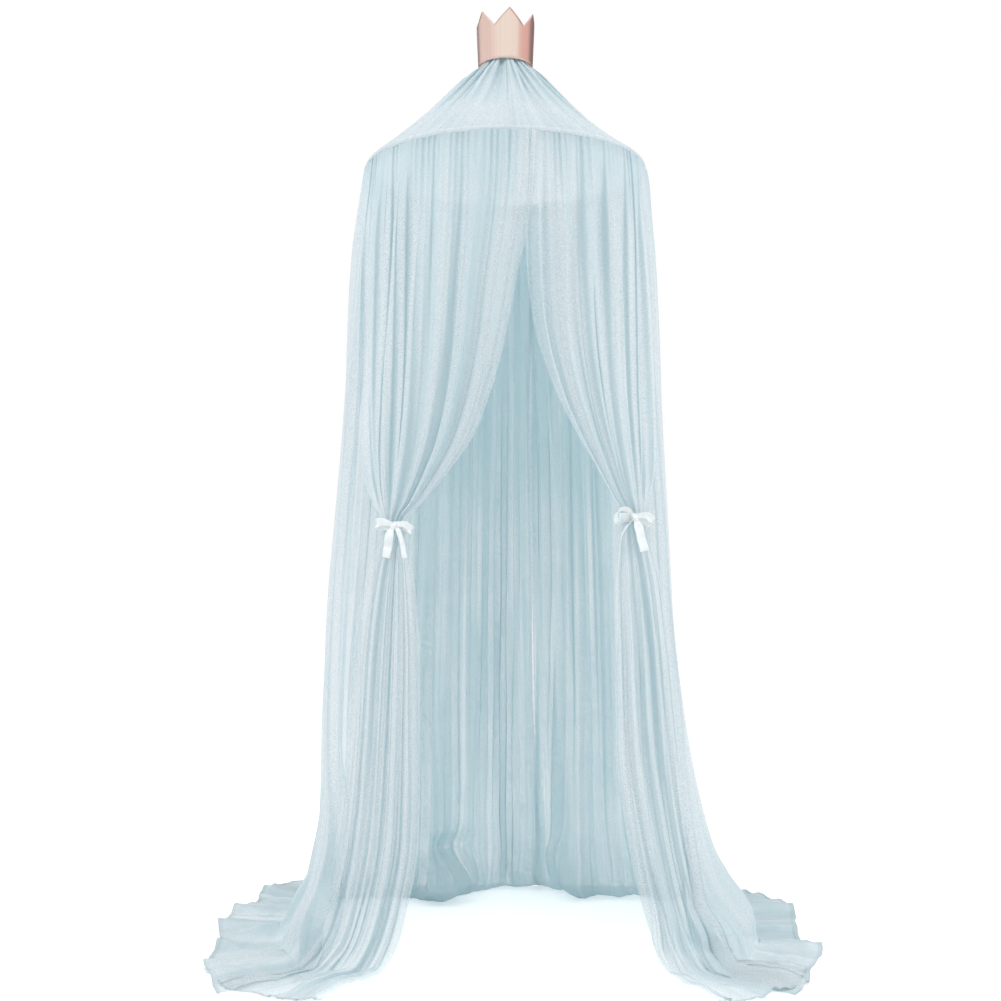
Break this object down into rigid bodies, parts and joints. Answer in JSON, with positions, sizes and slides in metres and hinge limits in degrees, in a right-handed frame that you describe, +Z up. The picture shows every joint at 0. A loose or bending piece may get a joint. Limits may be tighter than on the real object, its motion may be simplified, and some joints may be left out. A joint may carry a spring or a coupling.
{
  "type": "bed crown canopy",
  "caption": "Hanging bed canopy: a rose-gold crown over a gathered net roof, a hoop, and a floor-length net curtain tied back at the doorway with satin bows.",
  "frame": {"origin": "where the ceiling hook bears on the inside top of the hanging ring", "axes": "+Z up, the doorway faces -Y, +X to the right seen from the doorway"},
  "size_m": [1.2981, 0.9437, 2.0129],
  "materials": {
    "net": "sheer pale blue polyester net, gathered in soft folds",
    "tape": "pale blue woven polyester tape, plain",
    "foil": "rose-gold metallic foil face on a stiff band, satin gloss",
    "steel": "bright nickel-plated steel wire",
    "rod": "white flexible plastic rod, smooth",
    "ferrule": "pale grey moulded plastic sleeve",
    "satin": "white satin ribbon, soft sheen"
  },
  "bodies": {
    "canopy": {"hanging_strap": "tape", "neck_binding": "tape", "hoop_casing": "tape", "hoop_rod_1": "rod", "hoop_rod_2": "rod", "hoop_rod_3": "rod", "hoop_rod_4": "rod", "hoop_ferrule_1": "ferrule", "hoop_ferrule_2": "ferrule", "hoop_ferrule_3": "ferrule", "hoop_ferrule_4": "ferrule", "roof_gore_1": "net", "roof_gore_2": "net", "roof_gore_3": "net", "roof_gore_4": "net", "roof_gore_5": "net", "roof_gore_6": "net", "curtain_left_side": "net", "curtain_left_back": "net", "curtain_right_back": "net", "curtain_right_side": "net", "front_panel_left": "net", "front_panel_right": "net", "left_tie_band": "satin", "left_bow_knot": "satin", "left_bow_loop_inner": "satin", "left_bow_tail_inner": "satin", "left_bow_loop_outer": "satin", "left_bow_tail_outer": "satin", "right_tie_band": "satin", "right_bow_knot": "satin", "right_bow_loop_inner": "satin", "right_bow_tail_inner": "satin", "right_bow_loop_outer": "satin", "right_bow_tail_outer": "satin"},
    "crown": {"crown_band": "foil", "crown_rivet_1": "foil", "crown_rivet_2": "foil"},
    "hanging_ring": {"hanging_ring": "steel"}
  },
  "joints": [
    {"name": "crown_lift", "type": "slide", "parent": "canopy", "child": "crown", "axis": [0, 0, 1], "range_m": [0, 0.15]},
    {"name": "ring_swing", "type": "hinge", "parent": "canopy", "child": "hanging_ring", "pos_m": [0, 0, -0.032], "axis": [1, 0, 0], "range_deg": [-100, 100]}
  ]
}
